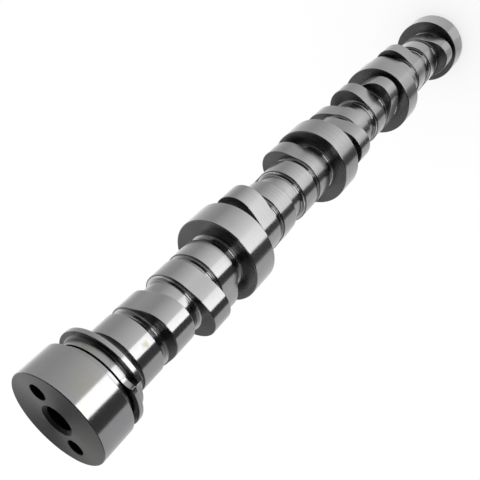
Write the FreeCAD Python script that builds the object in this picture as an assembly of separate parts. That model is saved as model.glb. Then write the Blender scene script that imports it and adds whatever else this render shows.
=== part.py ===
import FreeCAD, Part
import math
import os

from FreeCAD import Vector

# A camshaft for a V8 engine with roller followers, turned and ground from one piece of steel.
# Millimetres. +Z runs along the shaft from its front (timing) end to its rear end, and the
# shaft stands on its nose, with the origin in the middle of the nose's end face.

# Bearings
BEARING_COUNT = 5
BEARING_PITCH = 111.76
BEARING_DIAMETER = 54.96
BEARING_WIDTH = 19.33
BEARING_CHAMFER = 0.8

# Nose that carries the timing gear
NOSE_DIAMETER = 40.0
NOSE_LENGTH = 5.2
NOSE_CHAMFER = 0.8

# Turned barrel that joins the bearings and the lobes
BARREL_DIAMETER = 32.0

# Lobes: four in each bay between two bearings, in two pairs
FIRING_ORDER = (1, 8, 7, 2, 6, 5, 4, 3)
BANK_ANGLE = 90.0
LOBE_SEPARATION = 108.5
FIRST_INTAKE_ANGLE = -127.5
BASE_CIRCLE_RADIUS = 18.75
LOBE_LIFT = 8.0
HALF_DURATION = 70.0
ROLLER_RADIUS = 9.0
LOBE_WIDTH = 14.4
LOBE_CHAMFER = 0.5
PAIR_GAP = 4.45
MIDDLE_GAP = 12.75
BAY_SETBACK = 0.75
PROFILE_STEPS = 16

# Position sensor's two half rings, one each side of the shaft, on a hub ahead of the rear bearing
RING_RADIUS = 26.8
RING_HUB_RADIUS = 22.9
RING_LEAD = 1.27
RING_WIDTH = 2.73
RING_GAP = 2.02
RING_CHAMFER = 0.4
RING_FOOT = 1.4
RING_SPLIT_ANGLE = -121.0

# Rear bearing, which ends in the shaft's rear face
REAR_RELIEF = 4.35
REAR_BEARING_LENGTH = 19.5
REAR_CHAMFER = 0.6

# Holes in the rear face
REAR_BORE_DIAMETER = 14.6
REAR_BORE_DEPTH = 30.0
REAR_BORE_MOUTH_DIAMETER = 18.0
REAR_BORE_MOUTH_DEPTH = 1.5
DRIVE_HOLE_DIAMETER = 9.0
DRIVE_HOLE_DEPTH = 14.0
DRIVE_HOLE_CIRCLE = 33.0
DRIVE_HOLE_COUNT = 2
DRIVE_HOLE_ANGLE = -29.0

# Holes in the nose
BOLT_HOLE_DIAMETER = 6.8
BOLT_HOLE_DEPTH = 22.0
BOLT_CIRCLE = 28.0
BOLT_COUNT = 3
BOLT_HOLE_ANGLE = 90.0
DOWEL_HOLE_DIAMETER = 6.0
DOWEL_HOLE_DEPTH = 9.0
DOWEL_HOLE_ANGLE = 30.0
CENTRE_HOLE_DIAMETER = 6.3
CENTRE_HOLE_DEPTH = 14.0
CENTRE_MOUTH_DIAMETER = 12.0
CENTRE_MOUTH_ANGLE = 60.0

# Heights and radii that follow from the sizes above
bearing_radius = BEARING_DIAMETER / 2
barrel_radius = BARREL_DIAMETER / 2
nose_radius = NOSE_DIAMETER / 2
bay_length = BEARING_PITCH - BEARING_WIDTH
front_ring_z = NOSE_LENGTH + (BEARING_COUNT - 1) * BEARING_PITCH - RING_LEAD
rear_ring_z = front_ring_z + RING_WIDTH + RING_GAP
rear_bearing_z = rear_ring_z + RING_WIDTH + REAR_RELIEF
rear_face_z = rear_bearing_z + REAR_BEARING_LENGTH


def polar(radius, angle, z=0.0):
    """Point at a radius and an angle in degrees round the shaft."""
    turn = math.radians(angle)
    return Vector(radius * math.cos(turn), radius * math.sin(turn), z)


class Outline:
    """Half section of a turned part, drawn as radius against height."""

    def __init__(self, radius, z):
        self.start = self.end = Vector(radius, 0, z)
        self.edges = []

    def line(self, radius, z):
        target = Vector(radius, 0, z)
        self.edges.append(Part.makeLine(self.end, target))
        self.end = target

    def turn(self, start_angle=0.0, sweep=360.0):
        edges = self.edges + [Part.makeLine(self.end, self.start)]
        face = Part.Face(Part.Wire(edges))
        face.rotate(Vector(), Vector(0, 0, 1), start_angle)
        return face.revolve(Vector(), Vector(0, 0, 1), sweep)


def bay_lobe_heights(bay):
    """Heights of the front faces of a bay's four lobes, from front to rear."""
    middle = NOSE_LENGTH + bay * BEARING_PITCH + BEARING_WIDTH + bay_length / 2 - BAY_SETBACK
    inner = MIDDLE_GAP / 2
    outer = inner + LOBE_WIDTH + PAIR_GAP
    return [middle - outer - LOBE_WIDTH, middle - inner - LOBE_WIDTH, middle + inner, middle + outer]


def bay_lobe_angles(bay):
    """Angles of a bay's four lobes: the outer two are intakes, the inner two exhausts."""
    odd, even = 2 * bay + 1, 2 * bay + 2
    return [intake_angle(odd), exhaust_angle(even), exhaust_angle(odd), intake_angle(even)]


def intake_angle(cylinder):
    step = 360.0 / len(FIRING_ORDER)
    bank = BANK_ANGLE if cylinder % 2 == 0 else 0.0
    return FIRST_INTAKE_ANGLE - step * FIRING_ORDER.index(cylinder) - bank


def exhaust_angle(cylinder):
    return intake_angle(cylinder) + LOBE_SEPARATION


def add_bearing(outline):
    """Bearing with a chamfer at each end, from the outline's end up to the next barrel."""
    low = outline.end.z
    high = low + BEARING_WIDTH
    outline.line(bearing_radius - BEARING_CHAMFER, low)
    outline.line(bearing_radius, low + BEARING_CHAMFER)
    outline.line(bearing_radius, high - BEARING_CHAMFER)
    outline.line(bearing_radius - BEARING_CHAMFER, high)
    outline.line(barrel_radius, high)


def turned_shaft():
    """Nose, bearings, barrel and rear end as one turned body, without the lobes and rings."""
    outline = Outline(0, 0)
    outline.line(nose_radius - NOSE_CHAMFER, 0)
    outline.line(nose_radius, NOSE_CHAMFER)
    outline.line(nose_radius, NOSE_LENGTH)
    for bay in range(BEARING_COUNT - 1):
        add_bearing(outline)
        last = bay == BEARING_COUNT - 2
        outline.line(barrel_radius, front_ring_z if last else NOSE_LENGTH + (bay + 1) * BEARING_PITCH)
    outline.line(RING_HUB_RADIUS, front_ring_z)
    outline.line(RING_HUB_RADIUS, rear_bearing_z)
    outline.line(bearing_radius - REAR_CHAMFER, rear_bearing_z)
    outline.line(bearing_radius, rear_bearing_z + REAR_CHAMFER)
    outline.line(bearing_radius, rear_face_z - REAR_CHAMFER)
    outline.line(bearing_radius - REAR_CHAMFER, rear_face_z)
    outline.line(0, rear_face_z)
    return outline.turn()


def half_ring(z, start_angle):
    """Half of a sensor ring, sunk in the hub and with a sloping foot on its rear side."""
    inner = (barrel_radius + RING_HUB_RADIUS) / 2
    outline = Outline(inner, z)
    outline.line(RING_RADIUS - RING_CHAMFER, z)
    outline.line(RING_RADIUS, z + RING_CHAMFER)
    outline.line(RING_RADIUS, z + RING_WIDTH - RING_CHAMFER)
    outline.line(RING_RADIUS - RING_CHAMFER, z + RING_WIDTH)
    outline.line(RING_HUB_RADIUS + RING_FOOT, z + RING_WIDTH)
    outline.line(RING_HUB_RADIUS, z + RING_WIDTH + RING_FOOT)
    outline.line(inner, z + RING_WIDTH + RING_FOOT)
    return outline.turn(start_angle, 180.0)


def lobe_point(turn, inset):
    """Point of the lobe's face where the follower's roller touches it, at a turn in degrees
    from the lobe's tip. The roller's centre runs on a path of base circle, roller and lift,
    and the face lies one roller radius inside that path, or deeper by the inset."""
    share = turn / HALF_DURATION
    lift = LOBE_LIFT * (1 - share ** 2) ** 2
    slope = -4 * LOBE_LIFT * share * (1 - share ** 2) / math.radians(HALF_DURATION)
    radius = BASE_CIRCLE_RADIUS + ROLLER_RADIUS + lift
    outward, sideways = polar(1, turn), polar(1, turn + 90)
    normal = (outward * slope + sideways * radius).cross(Vector(0, 0, 1)).normalize()
    return outward * radius - normal * (ROLLER_RADIUS + inset)


def lobe_outline(inset, z):
    """Closed outline of a lobe with its tip on +X: both flanks as one curve, then the heel."""
    turns = [HALF_DURATION * (2 * i / PROFILE_STEPS - 1) for i in range(PROFILE_STEPS + 1)]
    points = [lobe_point(turn, inset) + Vector(0, 0, z) for turn in turns]
    flanks = Part.BSplineCurve()
    along = [polar(1, turns[0] + 90), polar(1, turns[-1] + 90)]
    flanks.interpolate(Points=points, InitialTangent=along[0], FinalTangent=along[1])
    heel = Part.Arc(points[-1], polar(BASE_CIRCLE_RADIUS - inset, 180, z), points[0])
    return Part.Wire([flanks.toShape(), heel.toShape()])


def lobe_blank():
    """One lobe with its tip on +X and its front face at zero height, both rims chamfered."""
    sections = [
        lobe_outline(LOBE_CHAMFER, 0),
        lobe_outline(0, LOBE_CHAMFER),
        lobe_outline(0, LOBE_WIDTH - LOBE_CHAMFER),
        lobe_outline(LOBE_CHAMFER, LOBE_WIDTH),
    ]
    return Part.makeLoft(sections, True, True)


def placed_lobes():
    blank = lobe_blank()
    lobes = []
    for bay in range(BEARING_COUNT - 1):
        for z, angle in zip(bay_lobe_heights(bay), bay_lobe_angles(bay)):
            lobe = blank.copy()
            lobe.rotate(Vector(), Vector(0, 0, 1), angle)
            lobe.translate(Vector(0, 0, z))
            lobes.append(lobe)
    return lobes


def blind_hole(diameter, depth, place, direction, mouth_diameter=None, mouth_depth=0.0):
    """Flat-bottomed hole and, where asked, its countersunk mouth."""
    radius = diameter / 2
    outline = Outline(0, 1)
    outline.line((mouth_diameter or diameter) / 2, 1)
    if mouth_diameter:
        outline.line(mouth_diameter / 2, 0)
        outline.line(radius, -mouth_depth)
    outline.line(radius, -depth)
    outline.line(0, -depth)
    hole = outline.turn()
    hole.Placement = FreeCAD.Placement(place, FreeCAD.Rotation(Vector(0, 0, 1), direction))
    return hole


def rear_holes():
    up = Vector(0, 0, 1)
    centre = Vector(0, 0, rear_face_z)
    mouth = (REAR_BORE_MOUTH_DIAMETER, REAR_BORE_MOUTH_DEPTH)
    holes = [blind_hole(REAR_BORE_DIAMETER, REAR_BORE_DEPTH, centre, up, *mouth)]
    for i in range(DRIVE_HOLE_COUNT):
        angle = DRIVE_HOLE_ANGLE + 360.0 * i / DRIVE_HOLE_COUNT
        place = polar(DRIVE_HOLE_CIRCLE / 2, angle, rear_face_z)
        holes.append(blind_hole(DRIVE_HOLE_DIAMETER, DRIVE_HOLE_DEPTH, place, up))
    return holes


def nose_holes():
    down = Vector(0, 0, -1)
    mouth_width = (CENTRE_MOUTH_DIAMETER - CENTRE_HOLE_DIAMETER) / 2
    mouth = (CENTRE_MOUTH_DIAMETER, mouth_width / math.tan(math.radians(CENTRE_MOUTH_ANGLE / 2)))
    holes = [blind_hole(CENTRE_HOLE_DIAMETER, CENTRE_HOLE_DEPTH, Vector(), down, *mouth)]
    for i in range(BOLT_COUNT):
        place = polar(BOLT_CIRCLE / 2, BOLT_HOLE_ANGLE + 360.0 * i / BOLT_COUNT)
        holes.append(blind_hole(BOLT_HOLE_DIAMETER, BOLT_HOLE_DEPTH, place, down))
    place = polar(BOLT_CIRCLE / 2, DOWEL_HOLE_ANGLE)
    holes.append(blind_hole(DOWEL_HOLE_DIAMETER, DOWEL_HOLE_DEPTH, place, down))
    return holes


def camshaft():
    rings = [
        half_ring(front_ring_z, RING_SPLIT_ANGLE),
        half_ring(rear_ring_z, RING_SPLIT_ANGLE + 180.0),
    ]
    shaft = turned_shaft().multiFuse(placed_lobes() + rings)
    for hole in rear_holes() + nose_holes():
        shaft = shaft.cut(hole)
    return shaft.removeSplitter()


os.makedirs("parts", exist_ok=True)
camshaft().exportStep("parts/camshaft.step")
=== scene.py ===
import math

import bmesh
import bpy
from mathutils import Matrix, Vector


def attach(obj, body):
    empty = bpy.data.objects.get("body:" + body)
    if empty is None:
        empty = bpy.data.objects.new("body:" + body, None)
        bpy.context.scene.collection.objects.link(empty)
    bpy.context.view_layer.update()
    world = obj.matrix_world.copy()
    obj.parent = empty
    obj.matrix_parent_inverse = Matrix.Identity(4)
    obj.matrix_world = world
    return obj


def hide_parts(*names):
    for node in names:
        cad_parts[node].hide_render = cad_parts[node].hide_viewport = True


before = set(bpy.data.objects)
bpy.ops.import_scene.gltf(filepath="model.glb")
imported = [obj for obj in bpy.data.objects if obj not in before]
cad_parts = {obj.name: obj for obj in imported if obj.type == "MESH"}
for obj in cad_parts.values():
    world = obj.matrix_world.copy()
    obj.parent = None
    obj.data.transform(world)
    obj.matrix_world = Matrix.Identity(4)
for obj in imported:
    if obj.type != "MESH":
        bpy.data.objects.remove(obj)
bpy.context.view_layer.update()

MM = 0.001

# Sizes of the camshaft in millimetres, with the nose at the bottom and the rear end on top
BEARING_COUNT = 5
BEARING_PITCH = 111.76
BEARING_RADIUS = 27.43
BEARING_WIDTH = 19.33
BEARING_ROUNDING = 0.8
NOSE_RADIUS = 20.0
NOSE_LENGTH = 5.2
NOSE_ROUNDING = 0.8
BARREL_RADIUS = 16.0
BARREL_FILLET = 2.1

FIRING_ORDER = (1, 8, 7, 2, 6, 5, 4, 3)
BANK_ANGLE = 90.0
LOBE_SEPARATION = 108.5
FIRST_INTAKE_ANGLE = -127.5
BASE_CIRCLE_RADIUS = 18.75
LOBE_LIFT = 8.0
HALF_DURATION = 70.0
ROLLER_RADIUS = 9.0
LOBE_WIDTH = 14.4
LOBE_ROUNDING = 0.5
PAIR_GAP = 4.45
MIDDLE_GAP = 12.75
BAY_SETBACK = 0.75

RING_RADIUS = 26.8
RING_HUB_RADIUS = 22.9
RING_LEAD = 1.27
RING_WIDTH = 2.73
RING_GAP = 2.02
RING_ROUNDING = 0.35
RING_FILLET = 1.4
RING_END_FILLET = 5.2
RING_SPLIT_ANGLE = -121.0
HUB_ROUNDING = 0.4
HUB_GROOVE_WIDTH = 1.05
HUB_GROOVE_DEPTH = 1.0
GROOVE_ROUNDING = 0.15

REAR_RELIEF = 4.35
RELIEF_FILLET = 0.5
REAR_BEARING_LENGTH = 19.5
REAR_BEARING_ROUNDING = 0.4
REAR_CHAMFER = 0.35
EDGE_ROUNDING = 0.1

REAR_BORE_RADIUS = 7.3
REAR_BORE_DEPTH = 30.0
REAR_BORE_MOUTH = 1.7
REAR_MOUTH_DEPTH = 1.5
DRIVE_HOLE_RADIUS = 4.5
DRIVE_HOLE_DEPTH = 14.0
DRIVE_HOLE_CIRCLE = 33.0
DRIVE_HOLE_ANGLES = (-29.0, 151.0)
DRIVE_HOLE_MOUTH = 0.25

BOLT_HOLE_RADIUS = 3.4
BOLT_HOLE_DEPTH = 22.0
BOLT_CIRCLE = 28.0
BOLT_HOLE_ANGLES = (90.0, 210.0, 330.0)
BOLT_HOLE_MOUTH = 0.5
DOWEL_HOLE_RADIUS = 3.0
DOWEL_HOLE_DEPTH = 9.0
DOWEL_HOLE_ANGLE = 30.0
DOWEL_HOLE_MOUTH = 0.3
CENTRE_HOLE_RADIUS = 3.15
CENTRE_HOLE_DEPTH = 14.0
CENTRE_HOLE_MOUTH = 2.85
CENTRE_MOUTH_DEPTH = 4.94

# Heights that follow from the sizes
BAY_LENGTH = BEARING_PITCH - BEARING_WIDTH
FRONT_RING_Z = NOSE_LENGTH + (BEARING_COUNT - 1) * BEARING_PITCH - RING_LEAD
REAR_RING_Z = FRONT_RING_Z + RING_WIDTH + RING_GAP
REAR_BEARING_Z = REAR_RING_Z + RING_WIDTH + REAR_RELIEF
REAR_FACE_Z = REAR_BEARING_Z + REAR_BEARING_LENGTH

# How far pieces reach into their neighbours, so that no two surfaces lie in one place, and how
# far the shape that cuts a hole stands out of the face
SINK = 0.02
JOINT_REACH = 1.0
RING_REACH = 1.5
CUTTER_REACH = 1.0

# How finely round things are divided, where edges count as sharp, and the length in metres
# under which an edge is dropped
TURNS = 256
HOLE_TURNS = 96
CORNER_STEPS = 6
END_FILLET_STEPS = 18
SHARP_ANGLE = math.radians(28)
SHORTEST_EDGE = 1e-7

# How much a surface leans, from 0 along the shaft to 1 straight across it
SLANTED = 0.5
ACROSS = 0.9

# Camera, in millimetres and degrees, for a picture of 480 by 480
CAMERA_PLACE = (-1.08, -291.87, 577.07)
CAMERA_DIP = 41.55
CAMERA_ROLL = 224.84
CAMERA_FOCUS_PX = 642.18
CAMERA_SHIFT_PX = (-16.0, -16.0)
CAMERA_RANGE = (10, 30000)
PICTURE_PX = 480
SENSOR_WIDTH = 36.0


def polar(radius, angle, z=0.0):
    turn = math.radians(angle)
    return Vector((radius * math.cos(turn), radius * math.sin(turn), z))


class Value:
    """What a node gives out. Sums and products of values add Math nodes."""

    def __init__(self, graph, socket):
        self.graph = graph
        self.socket = socket

    def __add__(self, other):
        return self.graph.node("ShaderNodeMath", {"operation": "ADD"}, self, other)

    def __mul__(self, other):
        return self.graph.node("ShaderNodeMath", {"operation": "MULTIPLY"}, self, other)

    __radd__ = __add__
    __rmul__ = __mul__


class Graph:
    """The nodes of one material or of the world."""

    def __init__(self, owner):
        owner.use_nodes = True
        self.tree = owner.node_tree
        self.tree.nodes.clear()

    def node(self, kind, settings=None, *values, out=0, **named):
        made = self.tree.nodes.new(kind)
        for name, setting in (settings or {}).items():
            setattr(made, name, setting)
        for name, value in list(enumerate(values)) + list(named.items()):
            if isinstance(name, str):
                name = name.replace("_", " ")
            self.feed(made.inputs[name], value)
        return Value(self, made.outputs[out]) if made.outputs else made

    def feed(self, socket, value):
        if isinstance(value, Value):
            self.tree.links.new(value.socket, socket)
        else:
            socket.default_value = value

    def place(self):
        return self.node("ShaderNodeTexCoord", out="Object")

    def height(self, place):
        return self.node("ShaderNodeSeparateXYZ", None, place, out="Z")

    def scaled(self, vector, scales):
        return self.node("ShaderNodeVectorMath", {"operation": "MULTIPLY"}, vector, scales)

    def noise(self, vector, scale, detail=3.0, roughness=0.55):
        return self.node("ShaderNodeTexNoise", None, Vector=vector, Scale=scale, Detail=detail,
                         Roughness=roughness)

    def lines(self, along, per_metre, detail=2.0):
        """Noise that changes only along one number, as tool marks do."""
        return self.node("ShaderNodeTexNoise", {"noise_dimensions": "1D"}, W=along * per_metre,
                         Scale=1.0, Detail=detail)

    def ramp(self, value, low, high, start=0.0, end=1.0):
        """A smooth change from start to end while the value goes from low to high, or the other
        way where low is the larger."""
        return self.node("ShaderNodeMapRange", {"interpolation_type": "SMOOTHSTEP"},
                         value, low, high, start, end)

    def colours(self, factor, first, second):
        mixed = self.node("ShaderNodeMix", {"data_type": "RGBA"}, out=2)
        inputs = mixed.socket.node.inputs
        for index, value in ((0, factor), (6, first), (7, second)):
            self.feed(inputs[index], (*value, 1.0) if isinstance(value, tuple) else value)
        return mixed

    def bump(self, height, depth):
        return self.node("ShaderNodeBump", None, Height=height, Distance=depth)

    def output(self, shader, world=False):
        kind = "ShaderNodeOutputWorld" if world else "ShaderNodeOutputMaterial"
        self.node(kind, None, Surface=shader)


STEEL = (0.56, 0.56, 0.565)
DULL_STEEL = (0.5, 0.5, 0.51)
# Faces across the shaft: steel darkened as painted shade of the recesses between lobes and rings
SHADED_FACE_STEEL = (0.2, 0.2, 0.204)
REAR_FACE_STEEL = (0.255, 0.253, 0.25)
# Near black for the holes and the hub's groove: painted shade in the recesses, with lighter boring rings
SHADED_BORE_STEEL = (0.02, 0.0195, 0.019)
LIGHTER_SHADED_BORE_STEEL = (0.045, 0.044, 0.043)
AMBER_STEEL = (0.43, 0.4, 0.32)
WARM_STEEL = (0.56, 0.545, 0.515)
VIOLET_STEEL = (0.54, 0.53, 0.56)
OLIVE_STEEL = (0.56, 0.55, 0.5)
GRAIN = {"Anisotropic": 0.75, "Anisotropic_Rotation": 0.25}

# How many tool marks there are to a metre, and how deep they are in metres
GRINDING_LINES, GRINDING_DEPTH = 5200.0, 1.2e-6
TURNING_LINES, TURNING_DEPTH = 2600.0, 1e-6
FACING_LINES, FACING_DEPTH, REAR_FACING_DEPTH = 4200.0, 3e-7, 2e-6
BORING_LINES, BORING_DEPTH = 1800.0, 1e-5

# Streaks of grinding run round the shaft. Broader bands between them are faint at the rear end
# and strong from the middle on, at these heights in metres.
STREAK_SCALES = (9.0, 9.0, 1500.0)
BAND_LINES = 850.0
FAINT_BANDS_Z = 0.46
STRONG_BANDS_Z = 0.2

# Faint stains by the rear end: colour, angle and radius round the shaft, distance from the
# rear face, and size. A stain ends between two shares of its size, with a ragged edge.
STAINS = (
    (OLIVE_STEEL, -84, 27.5, 9, 10),
    (OLIVE_STEEL, -60, 23, 24, 7),
    (WARM_STEEL, -102, 27.5, 0, 7),
    (WARM_STEEL, -148, 27.5, 1, 8),
    (VIOLET_STEEL, -138, 27.5, 15, 12),
    (VIOLET_STEEL, -35, 27.5, 6, 12),
    (AMBER_STEEL, -103, 19, 46, 3),
)
STAIN_EDGE = (2.1, 1.1)
STAIN_RAGGEDNESS = 2.4


def steel(graph, colour, roughness, normal, **settings):
    graph.output(graph.node("ShaderNodeBsdfPrincipled", None, Base_Color=colour, Metallic=1.0,
                            Roughness=roughness, Normal=normal, **settings))


def stained(graph, place, clean):
    """Faint heat stains, each a soft patch round its middle."""
    colour = clean
    ragged = graph.noise(place, scale=420.0, detail=4.0)
    for stain, angle, radius, depth, size in STAINS:
        middle = polar(radius * MM, angle, (REAR_FACE_Z - depth) * MM)
        away = graph.node("ShaderNodeVectorMath", {"operation": "DISTANCE"}, place, middle, out="Value")
        outer, inner = (share * size * MM for share in STAIN_EDGE)
        patch = graph.ramp(away + ragged * (STAIN_RAGGEDNESS * size * MM), outer, inner)
        colour = graph.colours(patch, colour, stain)
    return colour


def ground_steel():
    """Bearings and lobes: cylindrical grinding leaves fine lines round the shaft."""
    material = bpy.data.materials.new("ground_steel")
    graph = Graph(material)
    place = graph.place()
    z = graph.height(place)
    streaks = graph.noise(graph.scaled(place, STREAK_SCALES), scale=1.0, detail=4.0, roughness=0.7)
    cloud = graph.noise(place, scale=70.0)
    marks = graph.lines(z, GRINDING_LINES)
    strength = graph.ramp(z, FAINT_BANDS_Z, STRONG_BANDS_Z, start=0.25, end=1.3)
    bands = graph.lines(z, BAND_LINES) * strength
    roughness = 0.11 + streaks * 0.09 + cloud * 0.04 + marks * 0.02
    normal = graph.bump(streaks + marks * 0.5, GRINDING_DEPTH)
    wear = graph.ramp(streaks * 0.4 + bands * 0.5 + cloud * 0.4, low=0.45, high=0.95)
    worn = graph.colours(wear, STEEL, DULL_STEEL)
    steel(graph, stained(graph, place, worn), roughness, normal, **GRAIN)
    return material


def turned_steel():
    """Barrel, hub and nose: finish turned, with rings left by the tool."""
    material = bpy.data.materials.new("turned_steel")
    graph = Graph(material)
    place = graph.place()
    rings = graph.lines(graph.height(place), TURNING_LINES, detail=3.0)
    cloud = graph.noise(place, scale=120.0)
    roughness = 0.13 + rings * 0.08 + cloud * 0.05
    normal = graph.bump(rings, TURNING_DEPTH)
    worn = graph.colours(graph.ramp(cloud, low=0.4, high=0.75), STEEL, DULL_STEEL)
    steel(graph, stained(graph, place, worn), roughness, normal, **GRAIN)
    return material


def faced_steel(name, colour, roughness, depth):
    """Side and end faces: the tool leaves rings round the middle."""
    material = bpy.data.materials.new(name)
    graph = Graph(material)
    place = graph.place()
    flat = graph.scaled(place, (1.0, 1.0, 0.0))
    radius = graph.node("ShaderNodeVectorMath", {"operation": "LENGTH"}, flat, out="Value")
    rings = graph.lines(radius, FACING_LINES)
    cloud = graph.noise(place, scale=90.0)
    darker = tuple(0.8 * part for part in colour)
    steel(graph, graph.colours(cloud, colour, darker), roughness + rings * 0.06 + cloud * 0.06,
          graph.bump(rings + cloud * 0.3, depth), **GRAIN)
    return material


def bored_steel_painted_shade():
    """Inside of the holes and of the hub's groove: rough, with boring rings, and near black as painted
    shade in these recesses.
    """
    material = bpy.data.materials.new("bored_steel_painted_shade")
    graph = Graph(material)
    rings = graph.lines(graph.height(graph.place()), BORING_LINES)
    steel(graph, graph.colours(rings, SHADED_BORE_STEEL, LIGHTER_SHADED_BORE_STEEL),
          0.42 + rings * 0.15, graph.bump(rings, BORING_DEPTH))
    return material


GROUND = ground_steel()
TURNED = turned_steel()
# Side, ring and nose faces get a dark colour that is painted shade; the rear face gets its own colour
FACED_IN_SHADE = faced_steel("faced_steel", SHADED_FACE_STEEL, 0.21, FACING_DEPTH)
REAR_FACED = faced_steel("rear_faced_steel", REAR_FACE_STEEL, 0.34, REAR_FACING_DEPTH)
BORED_IN_SHADE = bored_steel_painted_shade()


def rounded(corners):
    """Radius and height along a half section whose corners are (radius, z, rounding)."""
    path = []
    for i, (radius, z, rounding) in enumerate(corners):
        here = Vector((radius, z))
        if not rounding:
            path.append(here)
            continue
        back = (Vector(corners[i - 1][:2]) - here).normalized()
        ahead = (Vector(corners[i + 1][:2]) - here).normalized()
        half = back.angle(ahead) / 2
        middle = here + (back + ahead).normalized() * rounding / math.sin(half)
        first = here + back * rounding / math.tan(half) - middle
        last = here + ahead * rounding / math.tan(half) - middle
        sweep = first.angle_signed(last)
        for step in range(CORNER_STEPS + 1):
            turned = first.copy()
            turned.rotate(Matrix.Rotation(-sweep * step / CORNER_STEPS, 2))
            path.append(middle + turned)
    return path


def quarter_turn(steps=CORNER_STEPS):
    """Across and along parts of a rounded corner, from one face to the other."""
    leans = [math.pi / 2 * step / steps for step in range(steps + 1)]
    return [(1 - math.sin(lean), 1 - math.cos(lean)) for lean in leans]


def circle(radius, z, turns=TURNS):
    if radius == 0:
        return [Vector((0, 0, z))]
    return [polar(radius, 360 * i / turns, z) for i in range(turns)]


def mesh_from(made, name, materials):
    """The shape that was made as a mesh with its materials, all its faces turned outwards."""
    bmesh.ops.recalc_face_normals(made, faces=made.faces)
    mesh = bpy.data.meshes.new(name)
    made.to_mesh(mesh)
    made.free()
    for material in materials:
        mesh.materials.append(material)
    return mesh


def skin(name, loops, finishes, closed=False):
    """Mesh through loops of points. finishes gives the material for each gap between loops.
    A loop of one point closes the skin there, and closed joins the last loop to the first."""
    made = bmesh.new()
    rows = [[made.verts.new(point * MM) for point in loop] for loop in loops]
    pairs = list(zip(rows, rows[1:])) + ([(rows[-1], rows[0])] if closed else [])
    materials = list(dict.fromkeys(finishes))
    for (low, high), finish in zip(pairs, finishes):
        count = max(len(low), len(high))
        for i in range(count):
            j = (i + 1) % count
            corners = [low[i % len(low)], low[j % len(low)], high[j % len(high)], high[i % len(high)]]
            face = made.faces.new(list(dict.fromkeys(corners)))
            face.material_index = materials.index(finish)
    return mesh_from(made, name, materials)


def finishes_along(path, finish):
    """Material for each stretch of a half section, from its middle and how much it leans."""
    picked = []
    for a, b in zip(path, path[1:]):
        lean = abs(b.x - a.x) / (b - a).length
        picked.append(finish((a.x + b.x) / 2, (a.y + b.y) / 2, lean))
    return picked


def turned_mesh(name, corners, finish):
    """Solid of revolution from a half section that starts and ends on the axis."""
    path = rounded(corners)
    return skin(name, [circle(p.x, p.y) for p in path], finishes_along(path, finish))


def placed(name, data):
    made = bpy.data.objects.new(name, data)
    bpy.context.scene.collection.objects.link(made)
    return made


def piece(name, mesh):
    """A finished part of the camshaft: smooth, with sharp edges kept, riding on the shaft."""
    mesh.polygons.foreach_set("use_smooth", [True] * len(mesh.polygons))
    mesh.set_sharp_from_angle(angle=SHARP_ANGLE)
    made = placed(name, mesh)
    normals = made.modifiers.new("even_normals", "WEIGHTED_NORMAL")
    normals.keep_sharp = True
    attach(made, "root")
    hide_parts("camshaft")


def shoulder(name, outline, low, high, rounding):
    """A lobe or bearing that stands up from the barrel. Its outline is a function of a turn and
    an inset, its rims are rounded, and a fillet joins each side face to the barrel. The dark
    faced steel of the side faces, whose colour is painted shade, goes halfway round the rims."""
    turns = [360 * i / TURNS - 180 for i in range(TURNS)]

    def rim(across, z):
        return [outline(turn, rounding * across) + Vector((0, 0, z)) for turn in turns]

    def foot(across, z):
        radius = BARREL_RADIUS - SINK + BARREL_FILLET * across
        return [outline(turn, 0).normalized() * radius + Vector((0, 0, z)) for turn in turns]

    corner = quarter_turn()
    loops = [foot(across, low - BARREL_FILLET * along) for across, along in reversed(corner)]
    loops += [rim(across, low + rounding * along) for across, along in corner]
    loops += [rim(across, high - rounding * along) for across, along in reversed(corner)]
    loops += [foot(across, high + BARREL_FILLET * along) for across, along in corner]
    half = CORNER_STEPS // 2
    # The side faces take the faced steel with painted shade in its dark colour
    side = [TURNED] * CORNER_STEPS + [FACED_IN_SHADE] * (1 + half) + [GROUND] * half
    return skin(name, loops, side + [GROUND] + side[::-1] + [TURNED], closed=True)


def lobe_point(turn, inset):
    """Point of a lobe where the roller touches it, at a turn in degrees from the lobe's tip."""
    share = max(-1.0, min(1.0, turn / HALF_DURATION))
    lift = LOBE_LIFT * (1 - share ** 2) ** 2
    slope = -4 * LOBE_LIFT * share * (1 - share ** 2) / math.radians(HALF_DURATION)
    radius = BASE_CIRCLE_RADIUS + ROLLER_RADIUS + lift
    outward, sideways = polar(1, turn), polar(1, turn + 90)
    normal = (outward * slope + sideways * radius).cross(Vector((0, 0, 1))).normalized()
    return outward * radius - normal * (ROLLER_RADIUS + inset)


def bearing_point(turn, inset):
    return polar(BEARING_RADIUS - inset, turn)


def intake_angle(cylinder):
    step = 360.0 / len(FIRING_ORDER)
    bank = BANK_ANGLE if cylinder % 2 == 0 else 0.0
    return FIRST_INTAKE_ANGLE - step * FIRING_ORDER.index(cylinder) - bank


def bay_lobes(bay):
    """Name, front height and angle of each lobe in a bay, from front to rear."""
    middle = NOSE_LENGTH + bay * BEARING_PITCH + BEARING_WIDTH + BAY_LENGTH / 2 - BAY_SETBACK
    inner = MIDDLE_GAP / 2
    outer = inner + LOBE_WIDTH + PAIR_GAP
    odd, even = 2 * bay + 1, 2 * bay + 2
    yield f"intake_lobe_{odd}", middle - outer - LOBE_WIDTH, intake_angle(odd)
    yield f"exhaust_lobe_{even}", middle - inner - LOBE_WIDTH, intake_angle(even) + LOBE_SEPARATION
    yield f"exhaust_lobe_{odd}", middle + inner, intake_angle(odd) + LOBE_SEPARATION
    yield f"intake_lobe_{even}", middle + outer, intake_angle(even)


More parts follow.
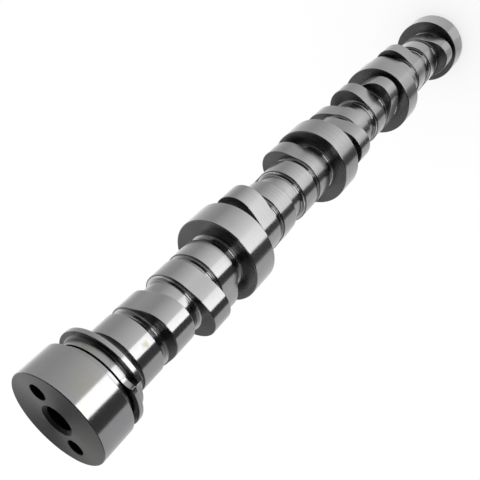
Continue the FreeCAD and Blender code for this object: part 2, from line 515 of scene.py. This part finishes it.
def make_barrel():
    low, high = NOSE_LENGTH + 2 * JOINT_REACH, FRONT_RING_Z + JOINT_REACH
    corners = [(0, low, 0), (BARREL_RADIUS, low, 0), (BARREL_RADIUS, high, 0), (0, high, 0)]
    piece("barrel", turned_mesh("barrel", corners, lambda radius, z, lean: TURNED))


def make_bearings():
    for bay, place in enumerate(("front", "second", "third", "fourth")):
        name = f"{place}_bearing"
        low = NOSE_LENGTH + bay * BEARING_PITCH
        piece(name, shoulder(name, bearing_point, low, low + BEARING_WIDTH, BEARING_ROUNDING))


def make_lobes():
    for bay in range(BEARING_COUNT - 1):
        for name, low, angle in bay_lobes(bay):
            mesh = shoulder(name, lobe_point, low, low + LOBE_WIDTH, LOBE_ROUNDING)
            mesh.transform(Matrix.Rotation(math.radians(angle), 4, "Z"))
            piece(name, mesh)


def hole_cutter(name, radius, depth, place, mouth, mouth_depth=None, way=1):
    """Shape of a blind hole with a countersunk mouth, to cut from an end face. way is 1 for a
    hole that goes down from the rear face, and -1 for one that goes up from the nose."""
    wide = radius + mouth
    path = [(0, CUTTER_REACH), (wide, CUTTER_REACH), (wide, 0), (radius, -(mouth_depth or mouth)),
            (radius, -depth), (0, -depth)]
    loops = [circle(r, way * z, HOLE_TURNS) for r, z in path]
    # The hole walls take the bored steel, near black as painted shade
    mesh = skin(name, loops, [BORED_IN_SHADE] * (len(path) - 1))
    mesh.transform(Matrix.Translation(place * MM))
    return mesh


def drilled_piece(name, mesh, cutters):
    """A piece with holes, which are cut out before its normals are evened."""
    blank = placed(name + "_blank", mesh)
    spent = [blank]
    for cutter in cutters:
        tool = placed(cutter.name, cutter)
        cut = blank.modifiers.new(cutter.name, "BOOLEAN")
        cut.operation = "DIFFERENCE"
        cut.solver = "EXACT"
        cut.material_mode = "TRANSFER"
        cut.object = tool
        spent.append(tool)
    drilled = blank.evaluated_get(bpy.context.evaluated_depsgraph_get())
    shaped = bpy.data.meshes.new_from_object(drilled)
    for used in spent:
        bpy.data.objects.remove(used)
    piece(name, shaped)


def make_rear_end():
    """Hub of the half rings, rear bearing and rear face with its holes."""
    groove = REAR_RING_Z + RING_WIDTH
    groove_end = groove + HUB_GROOVE_WIDTH
    floor = RING_HUB_RADIUS - HUB_GROOVE_DEPTH
    rim = BEARING_RADIUS - REAR_CHAMFER
    halfway_up = REAR_BEARING_Z + REAR_BEARING_LENGTH / 2
    halfway_out = (RING_HUB_RADIUS + BEARING_RADIUS) / 2
    corners = [
        (0, FRONT_RING_Z, 0),
        (RING_HUB_RADIUS, FRONT_RING_Z, HUB_ROUNDING),
        (RING_HUB_RADIUS, groove, 0),
        (floor, groove + GROOVE_ROUNDING, GROOVE_ROUNDING),
        (floor, groove_end - GROOVE_ROUNDING, GROOVE_ROUNDING),
        (RING_HUB_RADIUS, groove_end, 0),
        (RING_HUB_RADIUS, REAR_BEARING_Z, RELIEF_FILLET),
        (BEARING_RADIUS, REAR_BEARING_Z, REAR_BEARING_ROUNDING),
        (BEARING_RADIUS, REAR_FACE_Z - REAR_CHAMFER, EDGE_ROUNDING),
        (rim, REAR_FACE_Z, EDGE_ROUNDING),
        (0, REAR_FACE_Z, 0)]

    def finish(radius, z, lean):
        # The hub's groove takes the bored steel, near black as painted shade
        if groove < z < groove_end:
            return BORED_IN_SHADE
        # Faces across the shaft, but the rear face, get faced steel with painted shade in its colour
        if lean > SLANTED:
            return REAR_FACED if radius < rim and z > halfway_up else FACED_IN_SHADE
        return GROUND if radius > halfway_out else TURNED

    top = Vector((0, 0, REAR_FACE_Z))
    cutters = [hole_cutter("rear_bore", REAR_BORE_RADIUS, REAR_BORE_DEPTH, top, REAR_BORE_MOUTH,
                           REAR_MOUTH_DEPTH)]
    for i, angle in enumerate(DRIVE_HOLE_ANGLES):
        place = polar(DRIVE_HOLE_CIRCLE / 2, angle, REAR_FACE_Z)
        cutters.append(hole_cutter(f"drive_hole_{i + 1}", DRIVE_HOLE_RADIUS, DRIVE_HOLE_DEPTH, place,
                                   DRIVE_HOLE_MOUTH))
    drilled_piece("rear_end", turned_mesh("rear_end", corners, finish), cutters)


def make_nose():
    high = NOSE_LENGTH + JOINT_REACH
    corners = [(0, 0, 0), (NOSE_RADIUS, 0, NOSE_ROUNDING), (NOSE_RADIUS, high, 0), (0, high, 0)]
    # The nose's end face gets faced steel with painted shade in its colour
    mesh = turned_mesh("nose", corners, lambda radius, z, lean: FACED_IN_SHADE if lean > ACROSS else TURNED)
    cutters = [hole_cutter("centre_hole", CENTRE_HOLE_RADIUS, CENTRE_HOLE_DEPTH, Vector(),
                           CENTRE_HOLE_MOUTH, CENTRE_MOUTH_DEPTH, way=-1)]
    for i, angle in enumerate(BOLT_HOLE_ANGLES):
        place = polar(BOLT_CIRCLE / 2, angle)
        cutters.append(hole_cutter(f"bolt_hole_{i + 1}", BOLT_HOLE_RADIUS, BOLT_HOLE_DEPTH, place,
                                   BOLT_HOLE_MOUTH, way=-1))
    place = polar(BOLT_CIRCLE / 2, DOWEL_HOLE_ANGLE)
    cutters.append(hole_cutter("dowel_hole", DOWEL_HOLE_RADIUS, DOWEL_HOLE_DEPTH, place,
                               DOWEL_HOLE_MOUTH, way=-1))
    drilled_piece("nose", mesh, cutters)


def make_half_ring(name, z, start_angle, fillet):
    """Half of the sensor ring. A fillet joins its rear side to the hub, and a wide one each end."""
    inner, base = RING_HUB_RADIUS - RING_REACH, RING_HUB_RADIUS - SINK
    rear = z + RING_WIDTH
    foot = rear + fillet + SINK
    path = rounded([
        (inner, z, 0), (RING_RADIUS, z, RING_ROUNDING), (RING_RADIUS, rear, RING_ROUNDING),
        (base, rear, fillet), (base, foot, 0), (inner, foot, 0)])
    steps = TURNS // 2
    sections = [(180 * i / steps, RING_RADIUS) for i in range(steps + 1)]
    for across, along in quarter_turn(END_FILLET_STEPS):
        slope = math.degrees(RING_END_FILLET * along / base)
        top = min(base + RING_END_FILLET * across, RING_RADIUS)
        sections = [(-slope, top)] + sections + [(180 + slope, top)]

    # Faces across the ring and its rear side get faced steel with painted shade in its colour
    def finish(radius, height, lean):
        return FACED_IN_SHADE if lean > ACROSS or height > rear else GROUND

    made = bmesh.new()
    rows = []
    for turn, top in sections:
        rows.append([made.verts.new(polar(min(p.x, top), start_angle + turn, p.y) * MM) for p in path])
    finishes = finishes_along(path + path[:1], finish)
    materials = [GROUND, FACED_IN_SHADE, TURNED]
    for (turn, top), row, following in zip(sections, rows, rows[1:]):
        rim = GROUND if 0 <= turn < 180 else TURNED
        for j, surface in enumerate(finishes):
            k = (j + 1) % len(path)
            face = made.faces.new((row[j], row[k], following[k], following[j]))
            face.material_index = materials.index(FACED_IN_SHADE if surface == FACED_IN_SHADE else rim)
    for end in (rows[0], rows[-1]):
        made.faces.new(end).material_index = materials.index(FACED_IN_SHADE)
    bmesh.ops.dissolve_degenerate(made, edges=made.edges, dist=SHORTEST_EDGE)
    piece(name, mesh_from(made, name, materials))


make_barrel()
make_bearings()
make_lobes()
make_rear_end()
make_nose()
make_half_ring("front_sensor_ring", FRONT_RING_Z, RING_SPLIT_ANGLE, RING_FILLET)
make_half_ring("rear_sensor_ring", REAR_RING_Z, RING_SPLIT_ANGLE + 180, 0)


# Studio, in millimetres and degrees. The edges are radii where one card ends and the next starts.
FLOOR_RADIUS = 6000
FLOOR_DROP = 0.2
FLOOR_GREYS = ((0.34, 0.34, 0.34), (0.36, 0.36, 0.36))
FLOOR_LIFT = 0.66

CARD_STEPS = 24
CARD_LIFT = 0.4
SHAFT_EDGE = 29
NEAR_EDGE = 100
INNER_EDGE = 222
OUTER_EDGE = 437
STUDIO_RADIUS = 3000
STUDIO_HEIGHT = 4200
CEILING_MIDDLE = 1500
STRIP_HEIGHT = 2300
BACK_ANGLE = 90

# Brightness of walls, for the bottom and top, and of ceilings, for the inside and outside
BLACK = (0.01, 0.01)
DARK = (0.03, 0.03)
DIM = (0.1, 0.1)
BRIGHT_STRIP = (1.7, 1.7)
SIDE_WALL = (0.4, 0.16)
FAR_WALL = (0.16, 0.05)
SIDE_CEILING = (1.2, 1.7)
CEILING_END = (0.2, 0.2)
BACK_CEILING = (0.25, 0.25)
FRONT_CEILING = (0.05, 0.05)
INNER_CEILING = (0.05, 0.1)


def emission(graph, level):
    """White light. The level goes in as its colour, with 1 for white."""
    return graph.node("ShaderNodeEmission", None, level, 1.0)


def floor_material():
    material = bpy.data.materials.new("pale_floor")
    graph = Graph(material)
    speck = graph.noise(graph.place(), scale=400.0)
    matte = graph.node("ShaderNodeBsdfDiffuse", None, graph.colours(speck, *FLOOR_GREYS))
    rays = graph.node("ShaderNodeLightPath").socket.node.outputs
    seen = [Value(graph, rays[name]) for name in ("Is Camera Ray", "Is Glossy Ray", "Is Transmission Ray")]
    lift = emission(graph, (seen[0] + seen[1] + seen[2]) * FLOOR_LIFT)
    graph.output(graph.node("ShaderNodeAddShader", None, matte, lift))
    return material


def stage_piece(name, mesh):
    made = placed(name, mesh)
    return made


def make_floor():
    loops = [circle(0, -FLOOR_DROP), circle(FLOOR_RADIUS, -FLOOR_DROP)]
    stage_piece("floor", skin("floor", loops, [floor_material()]))


def card(name, place, glow):
    """A studio card that only reflections show. place gives its point, and glow its brightness,
    for a share across and a share along."""
    made = bmesh.new()
    level = made.verts.layers.float.new("glow")
    shares = [i / CARD_STEPS for i in range(CARD_STEPS + 1)]
    rows = []
    for across in shares:
        row = [made.verts.new(place(across, along) * MM) for along in shares]
        for vertex, along in zip(row, shares):
            vertex[level] = glow(across, along)
        rows.append(row)
    for low, high in zip(rows, rows[1:]):
        for j in range(CARD_STEPS):
            made.faces.new((low[j], high[j], high[j + 1], low[j + 1]))
    material = bpy.data.materials.new(name)
    graph = Graph(material)
    graph.output(emission(graph, graph.node("ShaderNodeAttribute", {"attribute_name": "glow"}, out="Fac")))
    shown = stage_piece(name, mesh_from(made, name, [material]))
    for ray in ("camera", "diffuse", "transmission", "volume_scatter", "shadow"):
        setattr(shown, "visible_" + ray, False)


def blend(first, last, share):
    return first + (last - first) * share


def ground_card(name, start, end, radii, first, last, bend=(1.0, 1.0), height=CARD_LIFT):
    """A flat card round the shaft, between two radii. start and end are its angles there, and
    first and last its brightness along those two sides, each as a pair for near and far. A bend
    over 1 keeps the first brightness for longer, and one under 1 for less."""
    near, far = radii

    def place(across, along):
        angle = blend(blend(*start, along), blend(*end, along), across)
        return polar(near * (far / near) ** along, angle, height)

    def glow(across, along):
        return blend(blend(*first, along), blend(*last, along), across ** blend(*bend, along))

    card(name, place, glow)


def wall_card(name, start, end, first, last, low=0, high=STUDIO_HEIGHT):
    """An upright card round the studio, from height low to high. first and last are its
    brightness at its start and its end, each as a pair for the bottom and the top."""
    def place(across, along):
        return polar(STUDIO_RADIUS, blend(start, end, across), blend(low, high, along))

    def glow(across, along):
        return blend(blend(*first, along), blend(*last, along), across)

    card(name, place, glow)


def make_ground_cards():
    """Cards just above the floor, which the ground and turned surfaces reflect."""
    near, middle = (SHAFT_EDGE, NEAR_EDGE), (NEAR_EDGE, OUTER_EDGE)
    inner, outer, far = (NEAR_EDGE, INNER_EDGE), (INNER_EDGE, OUTER_EDGE), (OUTER_EDGE, STUDIO_RADIUS)
    front, right, strip, left = (-10, -10), (62, 62), (-94, -94), (-262, -262)
    ground_card("right_card_near", front, right, near, (1.05, 0.5), (2.1, 1.35), (1.2, 1.5))
    ground_card("right_card_middle", front, right, middle, (0.5, 0.4), (1.35, 1.0), (1.9, 1.8))
    ground_card("right_card_far", front, right, far, (0.4, 0.42), (1.05, 0.8), (1.8, 6.0))
    ground_card("front_card_near", front, strip, near, (1.05, 0.47), (0.55, 0.7), (0.3, 1.5))
    ground_card("front_card_middle", front, strip, middle, (0.5, 0.36), (0.74, 1.2), (2.0, 1.1))
    ground_card("front_card_far", front, strip, far, (0.36, 0.46), (1.2, 0.2))
    ground_card("strip_card_near", strip, (-118, -130), near, (0.75, 0.82), (0.75, 0.6))
    ground_card("strip_card_inner", strip, (-130, -133), inner, (0.82, 0.95), (0.6, 0.45), (1.0, 2.5))
    ground_card("strip_card_outer", strip, (-133, -134.5), outer, (0.98, 1.2), (0.45, 1.55), (2.5, 1.0))
    ground_card("strip_card_far", strip, (-134.5, -123.5), far, (1.2, 2.6), (1.55, 2.5))
    ground_card("black_card_near", (-118, -130), (-140, -160), near, (0.6, 0.25), (0.58, 0.06))
    ground_card("black_card_inner", (-130, -133), (-160, -163), inner, (0.25, 0.12), (0.06, 0.03))
    ground_card("black_card_outer", (-133, -134.5), (-163, -166), outer, (0.12, 0.09), (0.03, 0.05))
    ground_card("black_card_far", (-134.5, -123.5), (-166, -165), far, (0.06, 0.05), (0.06, 0.05))
    ground_card("left_card_near", (-140, -160), (-220, -262), near, (0.45, 0.5), (1.4, 1.0))
    ground_card("left_card_middle", (-160, -166), left, middle, (0.5, 0.54), (1.0, 0.88), (1.0, 2.0))
    ground_card("left_card_far", (-166, -165), left, far, (0.54, 0.36), (0.88, 0.65), (2.0, 4.0))
    ground_card("back_card", (78, 78), (98, 98), (SHAFT_EDGE, STUDIO_RADIUS), DARK, DARK)


def make_walls():
    """Upright cards, which the side faces and rounded edges reflect. The wall is black straight
    behind the shaft, brightest a little to each side, and falls off from there."""
    right_end, strip_start, strip_end, left_end = -20, -94, -128, -166
    for name, side, end, bright in (
            ("right", -1, right_end, (1.15, 1.15)), ("left", 1, left_end + 360, (0.85, 0.85))):
        black, brightest, corner = (BACK_ANGLE + side * turn for turn in (1, 15, 60))
        wall_card(f"back_{name}_wall", black, brightest, DARK, bright)
        wall_card(f"{name}_wall", brightest, corner, bright, SIDE_WALL)
        wall_card(f"far_{name}_wall", corner, end, SIDE_WALL, FAR_WALL)
    wall_card("black_wall", BACK_ANGLE - 1, BACK_ANGLE + 1, DARK, DARK)
    wall_card("front_wall", right_end, strip_start, BLACK, BLACK)
    wall_card("strip_wall", strip_start, strip_end, DIM, DIM, high=STRIP_HEIGHT)
    wall_card("upper_strip_wall", strip_start, strip_end, BRIGHT_STRIP, BRIGHT_STRIP, low=STRIP_HEIGHT)
    wall_card("front_left_wall", strip_end, left_end, BLACK, BLACK)


def make_ceilings():
    outer, inner = (CEILING_MIDDLE, STUDIO_RADIUS), (1, CEILING_MIDDLE)
    for name, start, end, radii, first, last in (
            ("back", 60, 120, outer, BACK_CEILING, BACK_CEILING),
            ("left", 120, 180, outer, SIDE_CEILING, CEILING_END),
            ("right", 60, 0, outer, SIDE_CEILING, CEILING_END),
            ("front", 180, 360, outer, FRONT_CEILING, FRONT_CEILING),
            ("middle", 0, 360, inner, INNER_CEILING, INNER_CEILING)):
        ground_card(f"{name}_ceiling", (start, start), (end, end), radii, first, last,
                    height=STUDIO_HEIGHT)


def make_world():
    world = bpy.data.worlds.new("studio")
    bpy.context.scene.world = world
    graph = Graph(world)
    graph.output(graph.node("ShaderNodeBackground", None, (1, 1, 1, 1), 1.0), world=True)


def make_camera():
    data = bpy.data.cameras.new("camera")
    data.sensor_width = SENSOR_WIDTH
    data.lens = CAMERA_FOCUS_PX / PICTURE_PX * SENSOR_WIDTH
    data.shift_x, data.shift_y = (shift / PICTURE_PX for shift in CAMERA_SHIFT_PX)
    data.clip_start, data.clip_end = (distance * MM for distance in CAMERA_RANGE)
    camera = placed("camera", data)
    dip = Matrix.Rotation(math.radians(90 - CAMERA_DIP), 4, "X")
    roll = Matrix.Rotation(math.radians(CAMERA_ROLL), 4, "Z")
    camera.matrix_world = Matrix.Translation(Vector(CAMERA_PLACE) * MM) @ dip @ roll
    bpy.context.scene.camera = camera


make_floor()
make_ground_cards()
make_walls()
make_ceilings()
make_world()
make_camera()
bpy.context.scene.view_settings.view_transform = "Standard"
